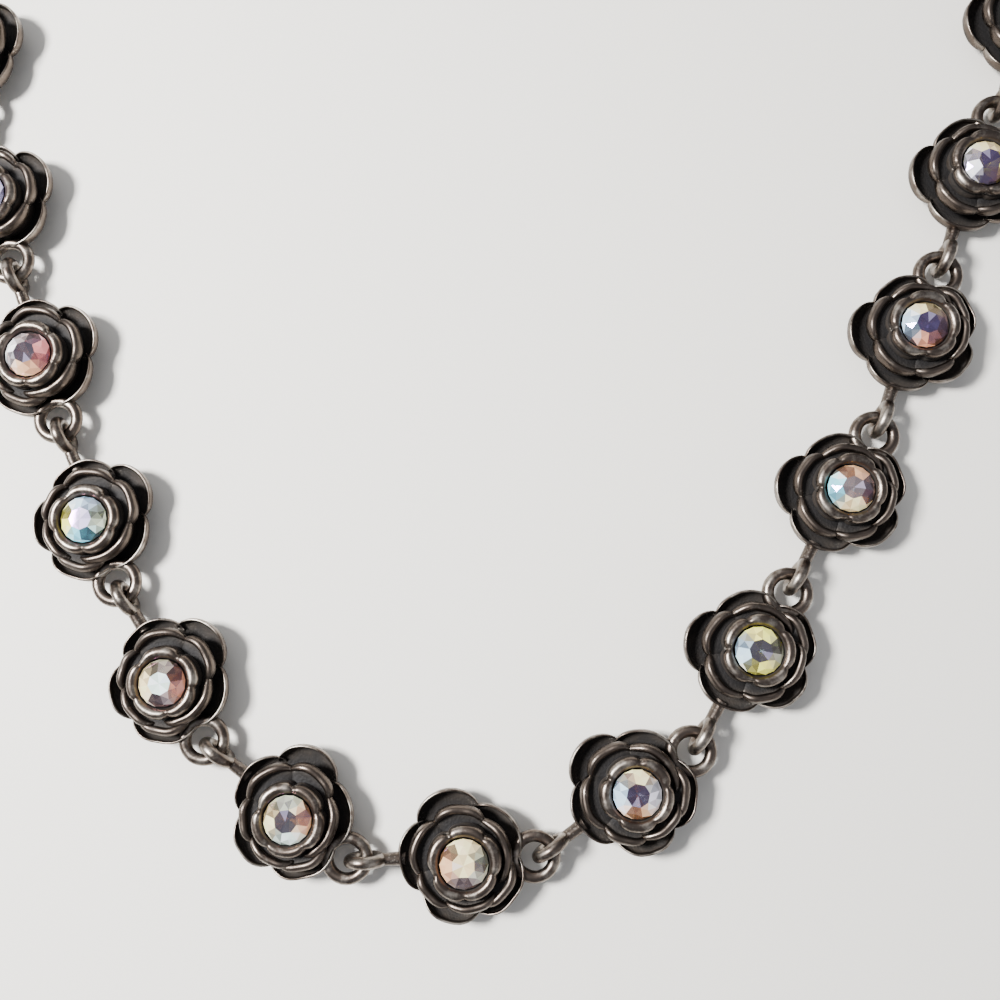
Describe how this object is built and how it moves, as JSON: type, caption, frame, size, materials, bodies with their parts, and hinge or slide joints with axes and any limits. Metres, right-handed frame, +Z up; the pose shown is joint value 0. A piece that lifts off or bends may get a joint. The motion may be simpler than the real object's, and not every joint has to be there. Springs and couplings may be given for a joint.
{
  "type": "rhinestone choker",
  "caption": "Choker of cast rose links, each with a round faceted crystal in its bud, joined ring through loop and closed by a plain clasp.",
  "frame": {"origin": "middle of the loop on the surface that the choker lies on", "axes": "+Z up from the surface, +Y from the front of the loop to the clasp at the back of the neck, +X to the right as seen from above"},
  "size_m": [0.1237, 0.1567, 0.0055],
  "materials": {
    "casting": "cast white metal with a near-black antique finish, worn bright on the rims",
    "crystal": "foil-backed glass with an iridescent coating",
    "clasp": "antique-finished white metal"
  },
  "bodies": {
    "root": {"rose_01": "casting", "rose_02": "casting", "rose_03": "casting", "rose_04": "casting", "rose_05": "casting", "rose_06": "casting", "rose_07": "casting", "rose_08": "casting", "rose_09": "casting", "rose_10": "casting", "rose_11": "casting", "rose_12": "casting", "rose_13": "casting", "rose_14": "casting", "rose_15": "casting", "rose_16": "casting", "rose_17": "casting", "rose_18": "casting", "rose_19": "casting", "rose_20": "casting", "rose_21": "casting", "rose_22": "casting", "crystal_01": "crystal", "crystal_02": "crystal", "crystal_03": "crystal", "crystal_04": "crystal", "crystal_05": "crystal", "crystal_06": "crystal", "crystal_07": "crystal", "crystal_08": "crystal", "crystal_09": "crystal", "crystal_10": "crystal", "crystal_11": "crystal", "crystal_12": "crystal", "crystal_13": "crystal", "crystal_14": "crystal", "crystal_15": "crystal", "crystal_16": "crystal", "crystal_17": "crystal", "crystal_18": "crystal", "crystal_19": "crystal", "crystal_20": "crystal", "crystal_21": "crystal", "crystal_22": "crystal", "clasp": "clasp"}
  },
  "joints": []
}
